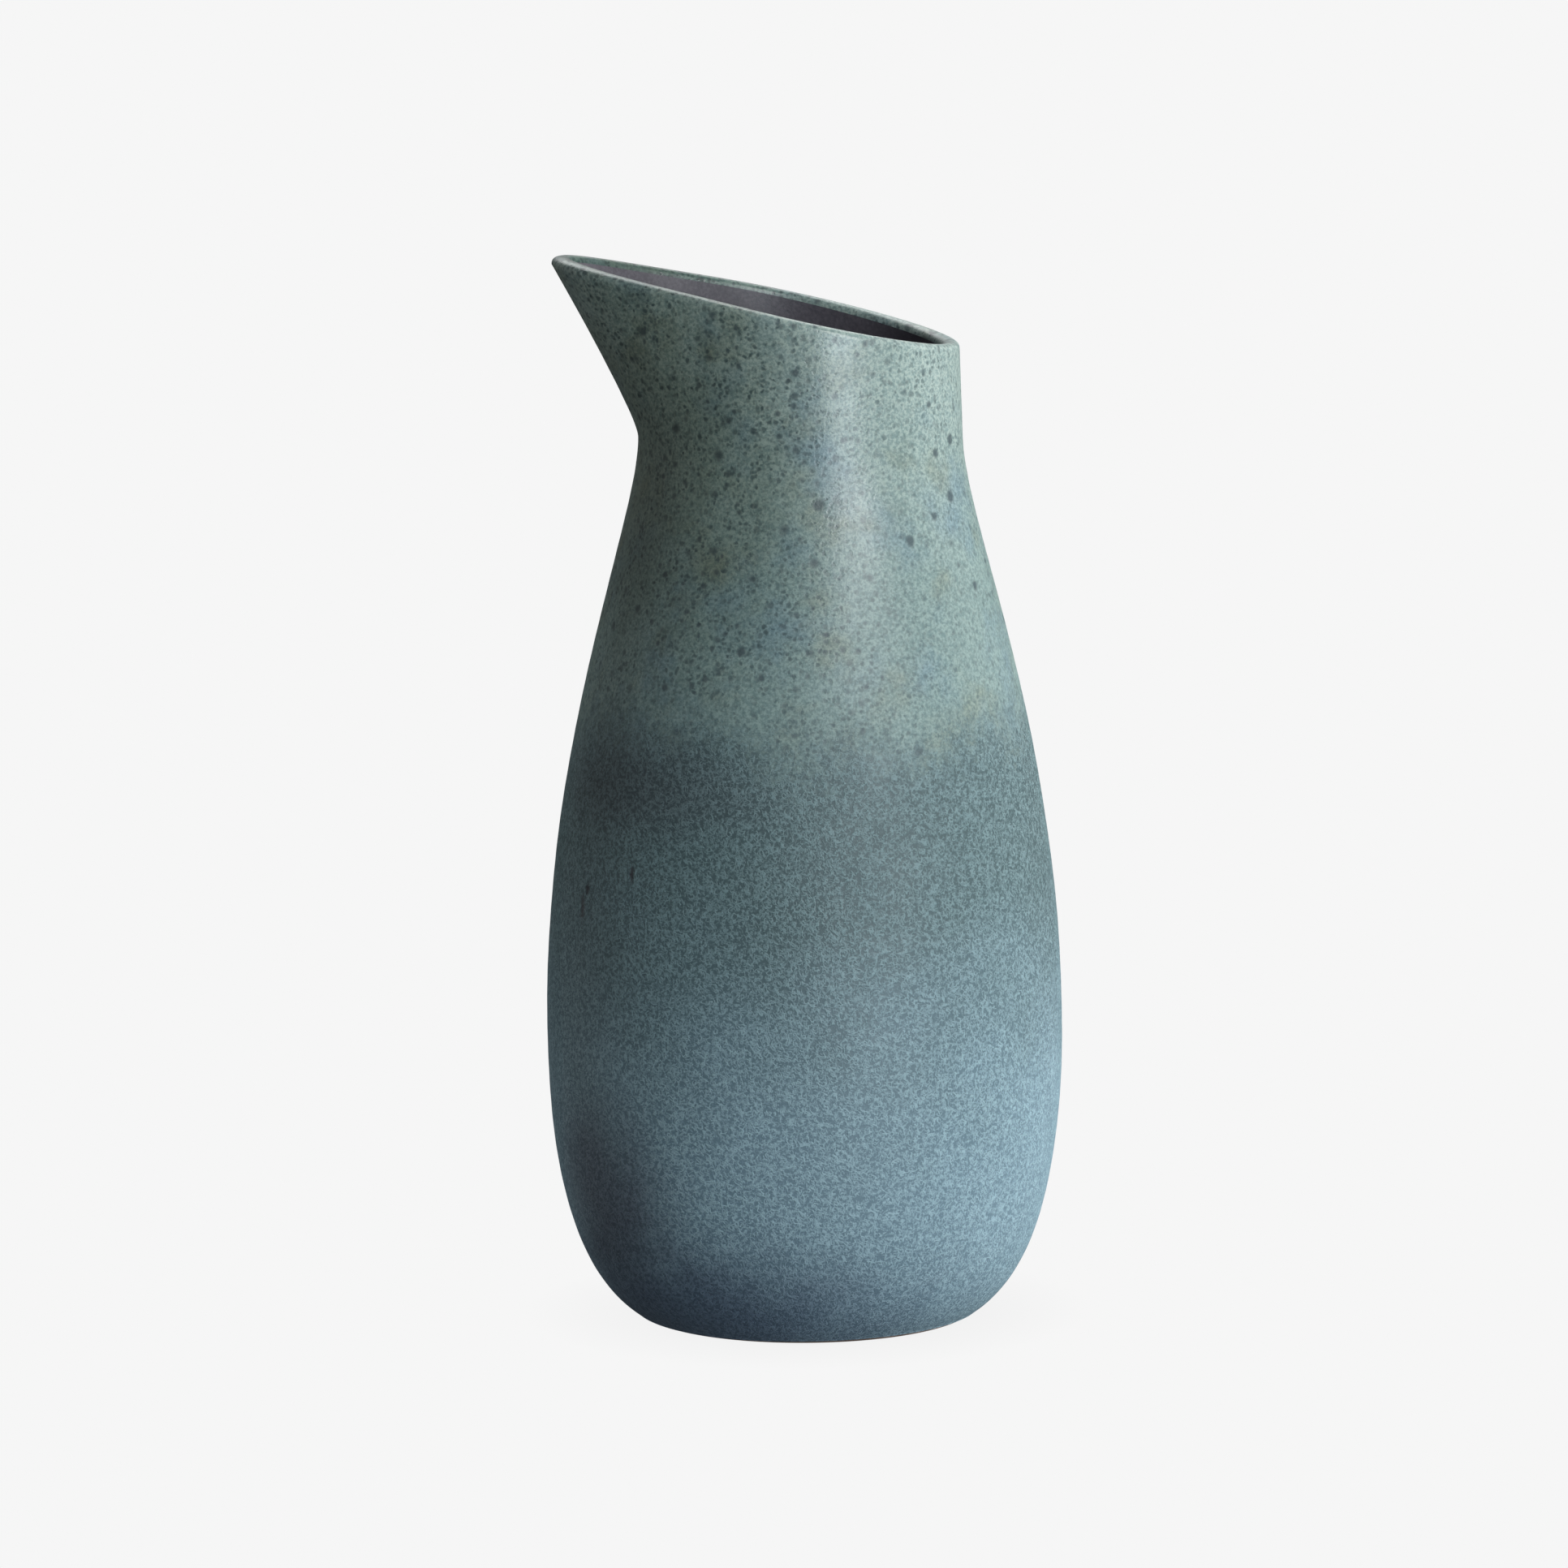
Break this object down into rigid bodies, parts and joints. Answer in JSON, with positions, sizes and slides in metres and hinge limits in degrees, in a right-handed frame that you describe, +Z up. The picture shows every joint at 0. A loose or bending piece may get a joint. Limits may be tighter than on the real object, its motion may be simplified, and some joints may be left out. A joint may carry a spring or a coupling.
{
  "type": "ceramic pitcher",
  "caption": "Glazed stoneware pitcher with a rounded body, narrow neck, slanted mouth and pulled beak spout, for pouring water or holding a few stems.",
  "frame": {"origin": "centre of the foot ring on the surface that the pitcher stands on", "axes": "+Z up along the body's axis, -X towards the spout, +Y to the far side, with the mirror plane at Y = 0"},
  "size_m": [0.12, 0.12, 0.248],
  "materials": {
    "bare_clay": "unglazed fired clay, sanded flat, grey brown, dry and matt",
    "stoneware": "fired stoneware with turning marks, matt",
    "blue_glaze": "slate blue satin glaze with fine winding mottles, darker and browner low on one side",
    "speckled_glaze": "grey green satin glaze with dense dark round specks and soft brown and blue clouds",
    "dark_glaze": "smooth dark grey violet satin liner glaze"
  },
  "bodies": {
    "root": {"foot_ring": "bare_clay", "body": "stoneware", "neck_and_spout": "stoneware", "base_glaze": "blue_glaze", "top_glaze": "speckled_glaze", "liner_glaze": "dark_glaze"}
  },
  "joints": []
}
